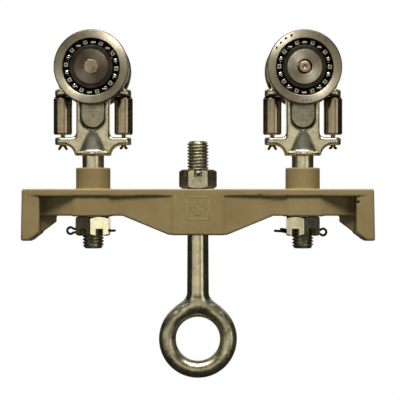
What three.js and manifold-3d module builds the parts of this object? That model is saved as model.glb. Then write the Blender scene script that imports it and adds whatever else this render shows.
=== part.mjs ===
// Tandem hoist trolley for enclosed track: a cast load bar hung from two swivelling four-roller trolleys.
// Millimetres. x runs along the track, y across it (the front is -y), z up.
// z = 0 is the running line, where the wheels stand on the track's lips, and x = 0 is the eye bolt's axis.
import * as THREE from "three";
import { mergeVertices } from "three/addons/utils/BufferGeometryUtils.js";
import Module from "manifold-3d";

const wasm = await Module();
wasm.setup();

// ---------------------------------------------------------------- driving dimensions
const STUD_R = 15.875 / 2; // 5/8 inch thread
const STUD_BORE_R = STUD_R + 0.3;
const TROLLEY_X = 76.2; // half of the 6 inch spacing of the trolleys

const WHEEL_R = 26.75;
const WHEEL_Y = [9.3, 20.5]; // inner and outer face of a wheel, from the middle plane
const AXLE_Z = WHEEL_R;
const AXLE_R = 5.1;
const AXLE_END_Y = 20.9;
const AXLE_BORE_R = 5.4;

const BALL_R = 6.35 / 2;
const BALL_COUNT = 10;
const BALL_PITCH_R = 18;
const OUTER_RACE_R = 20.2;
const INNER_RACE_R = 15.65;
const HUB_WASHER_R = 12.6;

const ROLLER_R = 6.9;
const ROLLER_Z = [-21.0, 5.7];
const ROLLER_X = 22.1; // from the stud's axis
const PIN_R = 1.6;
const PIN_BORE_R = 1.95;

const ARM_R = 6.3; // the arms' rounded ends, and half their thickness
const UPPER_ARM_Z = [6.5, 12.2];
const LOWER_ARM_Z = [-28.4, -22.9];
const NECK_X = 12;
const NECK_Y = 6;
const BASE_Z = -35.4;
const BASE_R = 12.7;
const STUD_END_Z = -103.4;

const BAR_X = 127; // half of the 10 inch bar
const BAR_Y = 17;
const FLANGE_Z = [-65.5, -60.4];
const WEB_Y = 6;
const WEB_BOTTOM_Z = -79.5;
const BLOCK_X = 18.7;
const BLOCK_BOTTOM_Z = -93.3;
const UPPER_BOSS = { r: 12.5, z: -44.9 };
const LOWER_BOSS = { r: 14.25, z: -80 };
const END_PLATE_BOTTOM_Z = -97.6;
const END_PLATE = { face: 8.4, root: 12.6, rootY: 14.6 }; // thickness at its face and behind |y| = rootY
const GUSSET_Y = 3;
const GUSSET_X = 24; // reach from the bar's end
const WEB_KNEE_X = 54.5; // where the web starts to deepen towards the block
const INNER_WEB_Y = [14.6, 16.2]; // half thickness by a stud and by the block

const NUT_ACROSS_FLATS = 23.8;
const NUT_HEIGHT = 13.9;
const SLOT = { width: 5.8, depth: 5.2 };
const COTTER_R = 1.5;
const COTTER_WIRE_R = 0.75;
const COTTER_BORE_R = 1.9;
const COTTER_EYE_R = 2.4; // middle of the wire round the eye

const EYE_TOP_Z = -25.4;
const EYE_RING_Z = -169.3;
const EYE_RING_R = 22.35;
const EYE_BAR_R = 6.05;

const GAP = 0.3; // running clearance between pieces that rest on each other

const STUD_NUT_SEAT_Z = LOWER_BOSS.z - GAP;
const COTTER_Z = STUD_NUT_SEAT_Z - NUT_HEIGHT + SLOT.depth / 2; // the middle of the nut's slots
const EYE_NUT_SEAT_Z = FLANGE_Z[1] + GAP;
const EYE_COTTER_Z = EYE_NUT_SEAT_Z + NUT_HEIGHT - SLOT.depth / 2;

// ---------------------------------------------------------------- solids
function solid(geometry) {
  const bare = geometry.clone();
  bare.deleteAttribute("normal");
  bare.deleteAttribute("uv");
  const merged = mergeVertices(bare, 1e-4);
  const triVerts = new Uint32Array(merged.index.array);
  const vertProperties = merged.attributes.position.array;
  return new wasm.Manifold(new wasm.Mesh({ numProp: 3, vertProperties, triVerts }));
}

function union(...parts) {
  return parts.reduce((whole, part) => whole.add(part));
}

function box(x, y, z) {
  const g = new THREE.BoxGeometry(x[1] - x[0], y[1] - y[0], z[1] - z[0]);
  g.translate((x[0] + x[1]) / 2, (y[0] + y[1]) / 2, (z[0] + z[1]) / 2);
  return solid(g);
}

// A round rod of radius r between two points.
function rod(r, from, to, sides = 16) {
  const a = new THREE.Vector3(...from);
  const b = new THREE.Vector3(...to);
  const along = b.clone().sub(a);
  const g = new THREE.CylinderGeometry(r, r, along.length(), sides);
  const turn = new THREE.Quaternion().setFromUnitVectors(
    new THREE.Vector3(0, 1, 0),
    along.clone().normalize(),
  );
  g.applyQuaternion(turn);
  const middle = a.add(b).multiplyScalar(0.5);
  g.translate(middle.x, middle.y, middle.z);
  return solid(g);
}

// A profile of [radius, height] points turned about the z axis.
function turned(profile, sides = 24) {
  const points = profile.map(([r, z]) => new THREE.Vector2(r, z));
  const g = new THREE.LatheGeometry(points, sides);
  g.rotateX(Math.PI / 2);
  return solid(g);
}

// The same profile turned about the y axis, its heights running towards the viewer (-y).
function turnedAcross(profile, sides = 24) {
  return turned(profile, sides).rotate([90, 0, 0]);
}

// An outline of [x, z] points, as thick as y0 to y1.
function plate(outline, y0, y1) {
  const shape = new THREE.Shape(outline.map(([x, z]) => new THREE.Vector2(x, z)));
  const g = new THREE.ExtrudeGeometry(shape, { depth: y1 - y0, bevelEnabled: false });
  g.rotateX(Math.PI / 2);
  g.translate(0, y1, 0);
  return solid(g);
}

// An outline of [x, y] points, standing from z0 to z1.
function column(outline, z0, z1) {
  const shape = new THREE.Shape(outline.map(([x, y]) => new THREE.Vector2(x, y)));
  const g = new THREE.ExtrudeGeometry(shape, { depth: z1 - z0, bevelEnabled: false });
  g.translate(0, 0, z0);
  return solid(g);
}

function mirroredOutline(half) {
  const other = half.map(([x, z]) => [-x, z]).reverse();
  return [...half, ...other];
}

// A ring of round wire in the plane whose normal is the given axis.
function wireRing(centre, ringR, wireR, axis, sides = 16, wireSides = 8) {
  const profile = [];
  for (let i = 0; i <= wireSides; i++) {
    const a = (i / wireSides) * 2 * Math.PI;
    profile.push([ringR + wireR * Math.cos(a), wireR * Math.sin(a)]);
  }
  profile[wireSides] = profile[0];
  const tilt = { x: [0, 90, 0], y: [90, 0, 0], z: [0, 0, 0] }[axis];
  return turned(profile, sides).rotate(tilt).translate(centre);
}

// ---------------------------------------------------------------- meshes
const group = new THREE.Group();
group.name = "tandem_hoist_trolley";

function addPiece(name, body, finish) {
  const mesh = body.getMesh();
  const g = new THREE.BufferGeometry();
  g.setAttribute("position", new THREE.BufferAttribute(mesh.vertProperties, 3));
  g.setIndex(new THREE.BufferAttribute(mesh.triVerts, 1));
  g.computeVertexNormals();
  const material = new THREE.MeshStandardMaterial(finish);
  const piece = new THREE.Mesh(g, material);
  piece.name = name;
  group.add(piece);
}

const TAN_PAINT = { color: 0x917d55, roughness: 0.55, metalness: 0.0 };
const ZINC = { color: 0xc9c2ad, roughness: 0.35, metalness: 1.0 };
const TURNED_STEEL = { color: 0xa9a08a, roughness: 0.3, metalness: 1.0 };
const BEARING_STEEL = { color: 0x8c8a84, roughness: 0.25, metalness: 1.0 };
const DARK_STEEL = { color: 0x6b6455, roughness: 0.4, metalness: 1.0 };

// ---------------------------------------------------------------- load bar
function loadBar() {
  const flange = box([-BAR_X, BAR_X], [-BAR_Y, BAR_Y], FLANGE_Z);
  const top = FLANGE_Z[0] + 1;
  const webOutline = mirroredOutline([
    [BAR_X - 4, top],
    [BAR_X - 4, WEB_BOTTOM_Z],
    [WEB_KNEE_X, WEB_BOTTOM_Z],
    [BLOCK_X + 2.3, BLOCK_BOTTOM_Z],
  ]);
  const web = plate(webOutline, -WEB_Y, WEB_Y);
  // Between the studs the web thickens towards the centre block.
  const innerPlan = mirroredOutline([
    [BLOCK_X, -INNER_WEB_Y[1]],
    [TROLLEY_X - 14, -INNER_WEB_Y[0]],
    [TROLLEY_X - 14, INNER_WEB_Y[0]],
    [BLOCK_X, INNER_WEB_Y[1]],
  ]);
  const innerWeb = column(innerPlan, BLOCK_BOTTOM_Z, top).intersect(
    plate(webOutline, -BAR_Y, BAR_Y),
  );
  const block = box([-BLOCK_X, BLOCK_X], [-BAR_Y, BAR_Y], [BLOCK_BOTTOM_Z, top]);
  const bosses = [-1, 1].map((side) => {
    const x = side * TROLLEY_X;
    const upper = rod(UPPER_BOSS.r, [x, 0, FLANGE_Z[0] + 1], [x, 0, UPPER_BOSS.z], 32);
    const lower = rod(LOWER_BOSS.r, [x, 0, LOWER_BOSS.z], [x, 0, top], 32);
    return upper.add(lower);
  });
  const ends = [-1, 1].map((side) => {
    // Seen from above, an end plate's inner edges are bevelled.
    const plan = [
      [BAR_X, -BAR_Y],
      [BAR_X, BAR_Y],
      [BAR_X - END_PLATE.face, BAR_Y],
      [BAR_X - END_PLATE.root, END_PLATE.rootY],
      [BAR_X - END_PLATE.root, -END_PLATE.rootY],
      [BAR_X - END_PLATE.face, -BAR_Y],
    ];
    // One slanting cut shapes the lower edge of the plate and of the gusset in its corner.
    const sideView = [
      [BAR_X, top],
      [BAR_X - GUSSET_X, top],
      [BAR_X - GUSSET_X, -84],
      [BAR_X - 6, END_PLATE_BOTTOM_Z],
      [BAR_X, END_PLATE_BOTTOM_Z],
    ];
    const gusset = plate(sideView, -GUSSET_Y, GUSSET_Y);
    const end = column(plan, END_PLATE_BOTTOM_Z, top)
      .intersect(plate(sideView, -BAR_Y - 1, BAR_Y + 1))
      .add(gusset);
    return side > 0 ? end : end.mirror([1, 0, 0]);
  });
  const cast = union(flange, web, innerWeb, block, ...bosses, ...ends);
  const bores = [-TROLLEY_X, 0, TROLLEY_X].map((x) =>
    rod(STUD_BORE_R, [x, 0, -110], [x, 0, -30], 24),
  );
  return cast.subtract(union(...bores));
}
addPiece("load_bar", loadBar(), TAN_PAINT);

// ---------------------------------------------------------------- trolley body, one forging with its stud
function trolleyBody() {
  const headR = 14;
  const head = rod(headR, [0, -NECK_Y, AXLE_Z], [0, NECK_Y, AXLE_Z], 24);
  const hub = rod(11, [0, -8.9, AXLE_Z], [0, 8.9, AXLE_Z], 24);
  const neck = plate(
    mirroredOutline([
      [NECK_X, AXLE_Z],
      [NECK_X, -20],
      [NECK_X + 0.9, -22],
      [NECK_X + 3, LOWER_ARM_Z[1]],
      [NECK_X + 3, LOWER_ARM_Z[0] + 1],
      [20, LOWER_ARM_Z[0]],
      [16.2, -29.8],
      [13.6, -32.4],
      [BASE_R, BASE_Z + 1],
    ]),
    -NECK_Y,
    NECK_Y,
  );
  const arms = [UPPER_ARM_Z, LOWER_ARM_Z].map((z) => {
    const bar = box([-ROLLER_X, ROLLER_X], [-ARM_R, ARM_R], z);
    const tips = [-ROLLER_X, ROLLER_X].map((x) => rod(ARM_R, [x, 0, z[0]], [x, 0, z[1]], 16));
    return union(bar, ...tips);
  });
  const stem = turned(
    [
      [0, STUD_END_Z],
      [STUD_R - 1.3, STUD_END_Z],
      [STUD_R, STUD_END_Z + 1.4],
      [STUD_R, BASE_Z],
      [BASE_R, BASE_Z],
      [BASE_R, -33.2],
      [10.7, -31.8],
      [NECK_Y, -18.6],
      [0, -18.6],
    ],
    24,
  );
  // A shallow pocket with a round bottom in the front and the back of the neck.
  const pocketR = 9.25;
  const pocketZ = -7.75;
  const pockets = [-1, 1].map((side) => {
    const y = [side * 4.2, side * (NECK_Y + 1)].sort((a, b) => a - b);
    const round = rod(pocketR, [0, y[0], pocketZ], [0, y[1], pocketZ], 24);
    return round.add(box([-pocketR, pocketR], y, [pocketZ, 6]));
  });
  const bores = [
    rod(AXLE_BORE_R, [0, -12, AXLE_Z], [0, 12, AXLE_Z], 24),
    ...[-ROLLER_X, ROLLER_X].map((x) => rod(PIN_BORE_R, [x, 0, -40], [x, 0, 40], 10)),
  ];
  return union(head, hub, neck, ...arms, stem)
    .subtract(union(...pockets))
    .subtract(union(...bores));
}

// ---------------------------------------------------------------- bearing wheel
const BALL_Y = (WHEEL_Y[0] + WHEEL_Y[1]) / 2;

// A race's groove, as [radius, height] points round the balls' plane.
function groove(lipR, floorR) {
  return [
    [lipR, BALL_Y - 2.8],
    [floorR, BALL_Y - 1.6],
    [floorR, BALL_Y + 1.6],
    [lipR, BALL_Y + 2.8],
  ];
}

function wheelRing() {
  const profile = [
    [OUTER_RACE_R, WHEEL_Y[0]],
    [WHEEL_R - 1, WHEEL_Y[0]],
    [WHEEL_R, WHEEL_Y[0] + 1],
    [WHEEL_R, WHEEL_Y[1] - 1],
    [WHEEL_R - 1, WHEEL_Y[1]],
    [OUTER_RACE_R, WHEEL_Y[1]],
    ...groove(OUTER_RACE_R, 21.4).reverse(),
    [OUTER_RACE_R, WHEEL_Y[0]],
  ];
  return turnedAcross(profile, 28);
}

function innerRing() {
  const y = [9.1, 19.9];
  const profile = [
    [AXLE_BORE_R, y[0]],
    [INNER_RACE_R, y[0]],
    ...groove(INNER_RACE_R, 14.6),
    [INNER_RACE_R, y[1]],
    [AXLE_BORE_R, y[1]],
    [AXLE_BORE_R, y[0]],
  ];
  return turnedAcross(profile, 24);
}

function hubWasher() {
  const y = [20.1, 20.7];
  const profile = [
    [AXLE_BORE_R, y[0]],
    [HUB_WASHER_R, y[0]],
    [HUB_WASHER_R, y[1]],
    [AXLE_BORE_R, y[1]],
    [AXLE_BORE_R, y[0]],
  ];
  return turnedAcross(profile, 24);
}

// The balls sit in a cage ring that carries them round.
function ballCage(firstBallDeg) {
  const inner = BALL_PITCH_R - 1.3;
  const outer = BALL_PITCH_R + 1.3;
  const y = [BALL_Y + 2.4, BALL_Y + 3.8];
  const ring = turnedAcross(
    [
      [inner, y[0]],
      [outer, y[0]],
      [outer, y[1]],
      [inner, y[1]],
      [inner, y[0]],
    ],
    20,
  );
  const balls = [];
  for (let i = 0; i < BALL_COUNT; i++) {
    const a = THREE.MathUtils.degToRad(firstBallDeg + (360 / BALL_COUNT) * i);
    const g = new THREE.SphereGeometry(BALL_R, 6, 4);
    g.translate(BALL_PITCH_R * Math.sin(a), -BALL_Y, BALL_PITCH_R * Math.cos(a));
    balls.push(solid(g));
  }
  return union(ring, ...balls);
}

function axle() {
  return rod(AXLE_R, [0, -AXLE_END_Y, AXLE_Z], [0, AXLE_END_Y, AXLE_Z], 24);
}

// ---------------------------------------------------------------- side roller and its split pin
function roller() {
  const r = ROLLER_R;
  const [low, high] = ROLLER_Z;
  const bore = PIN_BORE_R;
  return turned([
    [bore, low],
    [r - 1.2, low],
    [r, low + 1],
    [r, high - 1],
    [r - 1.2, high],
    [bore, high],
    [bore, low],
  ], 18);
}

function rollerPin() {
  const eyeZ = UPPER_ARM_Z[1] + GAP + COTTER_EYE_R + COTTER_WIRE_R;
  const legTop = LOWER_ARM_Z[0] - 0.6;
  const shank = rod(PIN_R, [0, 0, legTop - 0.4], [0, 0, UPPER_ARM_Z[1] + 0.8], 10);
  const eye = wireRing([0, 0, eyeZ], COTTER_EYE_R, COTTER_WIRE_R, "y", 10, 5);
  const legs = [-1, 1].map((side) =>
    rod(COTTER_WIRE_R, [side * 0.6, 0, legTop], [side * 2.9, 0, legTop - 3.6], 6),
  );
  return union(shank, eye, ...legs);
}

// ---------------------------------------------------------------- slotted nut and its cotter
// The nut stands on z = 0 with its slots up.
function slottedNut() {
  const corner = NUT_ACROSS_FLATS / Math.sqrt(3);
  const half = NUT_ACROSS_FLATS / 2;
  // The seat's corners are chamfered: the hexagon is cut by a turned blank.
  const hexagon = solid(new THREE.CylinderGeometry(corner, corner, NUT_HEIGHT, 6).rotateX(Math.PI / 2))
    .translate([0, 0, NUT_HEIGHT / 2]);
  const blank = turned(
    [
      [0, 0],
      [half, 0],
      [corner + 0.2, 1.4],
      [corner + 0.2, NUT_HEIGHT - 1.2],
      [half, NUT_HEIGHT],
      [0, NUT_HEIGHT],
    ],
    24,
  );
  let nut = hexagon.intersect(blank);
  for (let i = 0; i < 3; i++) {
    const slot = box(
      [-corner - 1, corner + 1],
      [-SLOT.width / 2, SLOT.width / 2],
      [NUT_HEIGHT - SLOT.depth, NUT_HEIGHT + 1],
    );
    nut = nut.subtract(slot.rotate([0, 0, 60 * i]));
  }
  return nut.subtract(rod(STUD_BORE_R, [0, 0, -1], [0, 0, NUT_HEIGHT + 1], 24));
}

// A cotter along +x: its eye is on the -x side and its legs open on the +x side.
function cotter(legLength) {
  const nutR = NUT_ACROSS_FLATS / 2;
  const eyeX = -nutR - COTTER_EYE_R - COTTER_WIRE_R - 0.6;
  const shank = rod(COTTER_R, [-nutR - 0.8, 0, 0], [nutR + 0.4, 0, 0], 10);
  const eye = wireRing([eyeX, 0, 0], COTTER_EYE_R, COTTER_WIRE_R, "y", 10, 5);
  const legs = [-1, 1].map((side) =>
    rod(COTTER_WIRE_R, [nutR, 0, side * 0.6], [nutR + legLength, 0, side * 0.6 - legLength * 0.12], 6),
  );
  return union(shank, eye, ...legs);
}

// ---------------------------------------------------------------- the two trolleys
const body = trolleyBody();
const wheel = wheelRing();
const race = innerRing();
const washer = hubWasher();
const sideRoller = roller();
const sidePin = rollerPin();
const nut = slottedNut();

const TROLLEYS = [
  { name: "left", side: -1, nutTurn: -4, ball: 4.5, leg: 4.6 },
  { name: "right", side: 1, nutTurn: 0, ball: 0.5, leg: 9 },
];

for (const { name, side, nutTurn, ball, leg } of TROLLEYS) {
  const at = [side * TROLLEY_X, 0, 0];
  const crossBore = rod(COTTER_BORE_R, [-12, 0, COTTER_Z], [12, 0, COTTER_Z], 12);
  const drilled = body.subtract(crossBore.rotate([0, 0, nutTurn]));
  addPiece(`${name}_trolley_body`, drilled.translate(at), ZINC);
  addPiece(`${name}_wheel_axle`, axle().translate(at), DARK_STEEL);

  // The bearing pieces are turned about their own axle, and the rear ones face the other way.
  const wheelPieces = {
    wheel_ring: [wheel, TURNED_STEEL],
    inner_ring: [race, BEARING_STEEL],
    hub_washer: [washer, DARK_STEEL],
    ball_cage: [ballCage(ball), BEARING_STEEL],
  };
  for (const [piece, [shape, finish]] of Object.entries(wheelPieces)) {
    const front = shape.translate([at[0], 0, AXLE_Z]);
    const rear = shape.rotate([0, 0, 180]).translate([at[0], 0, AXLE_Z]);
    addPiece(`${name}_front_${piece}`, front, finish);
    addPiece(`${name}_rear_${piece}`, rear, finish);
  }

  for (const [place, out] of [["outer", 1], ["inner", -1]]) {
    const x = side * (TROLLEY_X + out * ROLLER_X);
    addPiece(`${name}_${place}_roller`, sideRoller.translate([x, 0, 0]), DARK_STEEL);
    addPiece(`${name}_${place}_roller_pin`, sidePin.translate([x, 0, 0]), DARK_STEEL);
  }

  // The stud's nut hangs slots down, and its cotter's eye is on the outer side.
  const hungNut = nut.rotate([180, 0, nutTurn]).translate([at[0], 0, STUD_NUT_SEAT_Z]);
  addPiece(`${name}_stud_nut`, hungNut, ZINC);
  const pin = side < 0 ? cotter(leg) : cotter(leg).mirror([1, 0, 0]);
  const turnedPin = pin.rotate([0, 0, nutTurn]).translate([at[0], 0, COTTER_Z]);
  addPiece(`${name}_nut_cotter`, turnedPin, DARK_STEEL);
}

// ---------------------------------------------------------------- eye bolt
function eyeBolt() {
  const ringTop = EYE_RING_Z + EYE_RING_R;
  const shank = turned(
    [
      [0, ringTop - 1],
      [7.2, ringTop + 1],
      [9.4, ringTop + 3.2],
      [8.6, ringTop + 6],
      [STUD_R, ringTop + 9],
      [STUD_R, EYE_TOP_Z - 1.5],
      [STUD_R - 1.4, EYE_TOP_Z],
      [0, EYE_TOP_Z],
    ],
    24,
  );
  const ring = wireRing([0, 0, EYE_RING_Z], EYE_RING_R, EYE_BAR_R, "y", 28, 10);
  const bore = rod(COTTER_BORE_R, [0, -12, EYE_COTTER_Z], [0, 12, EYE_COTTER_Z], 12);
  return shank.add(ring).subtract(bore);
}
addPiece("eye_bolt", eyeBolt(), ZINC);
addPiece("eye_bolt_nut", nut.rotate([0, 0, 90]).translate([0, 0, EYE_NUT_SEAT_Z]), ZINC);
addPiece(
  "eye_bolt_cotter",
  cotter(4.6).rotate([0, 0, 90]).translate([0, 0, EYE_COTTER_Z]),
  DARK_STEEL,
);

export default group;
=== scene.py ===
"""Looks of a tandem hoist trolley for enclosed track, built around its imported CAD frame.

Sizes are millimetres in the CAD's frame: x along the track, y across it with the front at -y, z up,
z = 0 at the wheels' running line and x = 0 on the eye bolt's axis.
"""
import math

import bmesh
import bpy
import numpy as np
from mathutils import Matrix, Vector


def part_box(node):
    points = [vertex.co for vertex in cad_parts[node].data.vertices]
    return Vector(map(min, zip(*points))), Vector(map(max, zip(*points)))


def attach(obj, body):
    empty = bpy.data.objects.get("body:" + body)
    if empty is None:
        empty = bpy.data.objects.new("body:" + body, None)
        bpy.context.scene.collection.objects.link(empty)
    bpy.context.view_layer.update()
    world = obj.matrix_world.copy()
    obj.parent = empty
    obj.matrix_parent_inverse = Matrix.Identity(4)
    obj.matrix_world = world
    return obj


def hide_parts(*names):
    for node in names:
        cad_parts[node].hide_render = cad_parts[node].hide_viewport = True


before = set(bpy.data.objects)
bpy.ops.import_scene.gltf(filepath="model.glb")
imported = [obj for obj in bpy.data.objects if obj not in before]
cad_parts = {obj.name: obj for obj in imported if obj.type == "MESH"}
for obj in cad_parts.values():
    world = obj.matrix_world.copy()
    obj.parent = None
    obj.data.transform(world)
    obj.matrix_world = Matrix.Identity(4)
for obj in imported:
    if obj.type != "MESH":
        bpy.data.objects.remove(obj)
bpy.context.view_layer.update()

MM = 0.001
SIDES = {"left": -1, "right": 1}
# Degrees that turn a piece made for the front face onto each face.
FACES = {"front": 0, "rear": 180}


def box_mm(node):
    low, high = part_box(node)
    return np.array(low) / MM, np.array(high) / MM


# -------------------- sizes, from the frame where it has them
BAR_LOW, BAR_HIGH = box_mm("load_bar")
WHEEL_LOW, WHEEL_HIGH = box_mm("right_front_wheel_ring")
NUT_LOW, NUT_HIGH = box_mm("eye_bolt_nut")
EYE_LOW, EYE_HIGH = box_mm("eye_bolt")
BODY_LOW, _ = box_mm("right_trolley_body")
ROLLER_LOW, ROLLER_HIGH = box_mm("right_outer_roller")

TROLLEY_X = (WHEEL_LOW[0] + WHEEL_HIGH[0]) / 2
WHEEL_R = WHEEL_HIGH[2] / 2
AXLE_Z = WHEEL_R
WHEEL_FACE_Y = -WHEEL_LOW[1]
WHEEL_BACK_Y = -WHEEL_HIGH[1]
BALL_Y = (WHEEL_FACE_Y + WHEEL_BACK_Y) / 2
BALL_R = 6.35 / 2
BALL_COUNT = 10
BALL_PITCH_R = 18.0
OUTER_RACE_R = 20.2
INNER_RACE_R = 15.65
HUB_R = 12.6
AXLE_R = 5.1

STUD_R = 15.875 / 2
THREAD_PITCH = 25.4 / 11
THREAD_DEPTH = 1.35
BASE_Z = -35.4
STUD_END_Z = BODY_LOW[2]

ROLLER_R = (ROLLER_HIGH[0] - ROLLER_LOW[0]) / 2
ROLLER_X = (ROLLER_LOW[0] + ROLLER_HIGH[0]) / 2 - TROLLEY_X
BODY_Y = 6.3
UPPER_ARM_Z = (6.5, 12.2)
LOWER_ARM_Z = (-28.4, -22.9)
NECK_X = 12.0

BAR_X = BAR_HIGH[0]
BAR_Y = BAR_HIGH[1]
FLANGE_Z = (-65.5, -60.4)
BOSS_TOP_Z = BAR_HIGH[2]
BAR_BOTTOM_Z = BAR_LOW[2]
WEB_BOTTOM_Z = -79.5
BLOCK_X = 18.7
BLOCK_BOTTOM_Z = -93.3

NUT_FLATS = NUT_HIGH[1] - NUT_LOW[1]
NUT_HEIGHT = NUT_HIGH[2] - NUT_LOW[2]
SLOT_WIDTH = 5.8
SLOT_DEPTH = 5.2
NUT_TURN = {"left": -4.0, "right": 0.0}
WIRE_R = 0.9
LEG_R = 1.0

EYE_TOP_Z = EYE_HIGH[2]
EYE_BAR_R = 6.2
EYE_RING_R = EYE_HIGH[0] - EYE_BAR_R
EYE_RING_Z = EYE_LOW[2] + EYE_RING_R + EYE_BAR_R


# -------------------- materials
def node_material(name):
    material = bpy.data.materials.new(name)
    material.use_nodes = True
    tree = material.node_tree
    shader = tree.nodes["Principled BSDF"]
    return material, tree, shader


def noise(tree, coords, scale, detail=4.0, roughness=0.55):
    """Noise in a piece's own space, with a different pattern on each copy. The scale is per metre."""
    node = tree.nodes.new("ShaderNodeTexNoise")
    node.noise_dimensions = "4D"
    node.inputs["Scale"].default_value = scale
    node.inputs["Detail"].default_value = detail
    node.inputs["Roughness"].default_value = roughness
    tree.links.new(coords[0], node.inputs["Vector"])
    tree.links.new(coords[1], node.inputs["W"])
    return node.outputs["Fac"]


def own_space(tree):
    place = tree.nodes.new("ShaderNodeTexCoord")
    copy = tree.nodes.new("ShaderNodeObjectInfo")
    own = tree.nodes.new("ShaderNodeMath")
    own.operation = "MULTIPLY"
    own.inputs[1].default_value = 17.0
    tree.links.new(copy.outputs["Random"], own.inputs[0])
    return place.outputs["Object"], own.outputs[0]


def ramp(tree, value, stops):
    """Colours along a value. Each stop is (position, (r, g, b))."""
    node = tree.nodes.new("ShaderNodeValToRGB")
    elements = node.color_ramp.elements
    while len(elements) < len(stops):
        elements.new(0.5)
    for element, (position, colour) in zip(elements, stops):
        element.position = position
        element.color = (*colour, 1.0)
    tree.links.new(value, node.inputs["Fac"])
    return node.outputs["Color"]


def remapped(tree, value, before, after=(0.0, 1.0), curve="LINEAR"):
    """A value mapped from one range to another, and held at the ends."""
    node = tree.nodes.new("ShaderNodeMapRange")
    node.interpolation_type = curve
    for socket, number in zip(("From Min", "From Max", "To Min", "To Max"), (*before, *after)):
        node.inputs[socket].default_value = number
    tree.links.new(value, node.inputs["Value"])
    return node.outputs["Result"]


def spread(tree, value, low, high):
    """A noise value stretched from its usual middle band to low..high."""
    return remapped(tree, value, (0.3, 0.7), (low, high))


def mixed(tree, share, colour, other):
    """A colour turning into another, plain one as the share grows."""
    node = tree.nodes.new("ShaderNodeMix")
    node.data_type = "RGBA"
    tree.links.new(share, node.inputs["Factor"])
    tree.links.new(colour, node.inputs["A"])
    node.inputs["B"].default_value = (*other, 1.0)
    return node.outputs["Result"]


def bump(tree, shader, layers):
    """Stacked bumps, each (value, height in millimetres)."""
    normal = None
    for value, height in layers:
        node = tree.nodes.new("ShaderNodeBump")
        node.inputs["Distance"].default_value = height * MM
        tree.links.new(value, node.inputs["Height"])
        if normal is not None:
            tree.links.new(normal, node.inputs["Normal"])
        normal = node.outputs["Normal"]
    tree.links.new(normal, shader.inputs["Normal"])


def lighter_at_edges(tree, colour, edge_colour, low, high):
    """Mixes towards the edge colour where the surface bends outwards."""
    shape = tree.nodes.new("ShaderNodeNewGeometry")
    return mixed(tree, remapped(tree, shape.outputs["Pointiness"], (low, high)), colour, edge_colour)


def metal(name, dark, light, rough, lump=(250, 0.06), grain=(1800, 0.012)):
    """Bare or plated steel: colour and roughness vary, with lumps and a finer grain in the surface."""
    material, tree, shader = node_material(name)
    coords = own_space(tree)
    patches = noise(tree, coords, 160, 5)
    tree.links.new(ramp(tree, patches, [(0.32, dark), (0.68, light)]), shader.inputs["Base Color"])
    tree.links.new(spread(tree, noise(tree, coords, 420, 6), *rough), shader.inputs["Roughness"])
    shader.inputs["Metallic"].default_value = 1.0
    bump(
        tree,
        shader,
        [(noise(tree, coords, lump[0], 3), lump[1]), (noise(tree, coords, grain[0], 3), grain[1])],
    )
    return material, tree, shader


def turned_metal(name, dark, light, rough, strength):
    """Steel faced on a lathe: the sheen runs round the y axis."""
    material, tree, shader = metal(name, dark, light, rough, lump=(90, 0.008), grain=(2500, 0.0015))
    tangent = tree.nodes.new("ShaderNodeTangent")
    tangent.direction_type = "RADIAL"
    tangent.axis = "Y"
    shader.inputs["Anisotropic"].default_value = strength
    shader.inputs["Anisotropic Rotation"].default_value = 0.25
    tree.links.new(tangent.outputs["Tangent"], shader.inputs["Tangent"])
    return material


def cast_paint():
    material, tree, shader = node_material("tan_cast_paint")
    coords = own_space(tree)
    broad = noise(tree, coords, 45, 4)
    colour = ramp(
        tree,
        broad,
        [(0.3, (0.140, 0.101, 0.041)), (0.5, (0.161, 0.120, 0.051)), (0.7, (0.178, 0.139, 0.065))],
    )
    # Outward edges turn a lighter tan.
    colour = lighter_at_edges(tree, colour, (0.21, 0.17, 0.09), 0.53, 0.60)
    flecks = remapped(tree, noise(tree, coords, 700, 3), (0.60, 0.72), (0.0, 0.45))
    colour = mixed(tree, flecks, colour, (0.10, 0.07, 0.03))
    tree.links.new(colour, shader.inputs["Base Color"])
    tree.links.new(spread(tree, noise(tree, coords, 300, 4), 0.42, 0.62), shader.inputs["Roughness"])
    bump(
        tree,
        shader,
        [(noise(tree, coords, 130, 3), 0.10), (noise(tree, coords, 900, 4), 0.06)],
    )
    return material


PAINT = cast_paint()
FORGED = metal(
    "forged_zinc", (0.44, 0.41, 0.31), (0.75, 0.71, 0.57), (0.24, 0.35), lump=(420, 0.05), grain=(1500, 0.02)
)[0]
# Darker zinc for the trolley's pocket and cone: painted shade and a painted dark reflection.
POCKET_AND_CONE_SHADE = metal("pocket_and_cone_painted_shade_zinc", (0.25, 0.24, 0.20), (0.46, 0.44, 0.37), (0.3, 0.42), lump=(420, 0.1))[0]
EYE_ZINC = metal(
    "eye_zinc", (0.26, 0.24, 0.17), (0.68, 0.64, 0.50), (0.24, 0.40), lump=(330, 0.22), grain=(1200, 0.04)
)[0]
SHANK = metal("drawn_zinc", (0.42, 0.39, 0.30), (0.62, 0.58, 0.46), (0.16, 0.28), lump=(120, 0.04))[0]
THREAD = metal("thread_zinc", (0.30, 0.29, 0.24), (0.60, 0.56, 0.45), (0.22, 0.38), lump=(400, 0.05))[0]
NUT_ZINC = metal("nut_zinc", (0.50, 0.48, 0.38), (0.76, 0.73, 0.58), (0.16, 0.24), lump=(380, 0.015))[0]
TREAD = turned_metal("turned_wheel_steel", (0.165, 0.146, 0.105), (0.232, 0.209, 0.158), (0.28, 0.36), 0.8)
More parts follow.
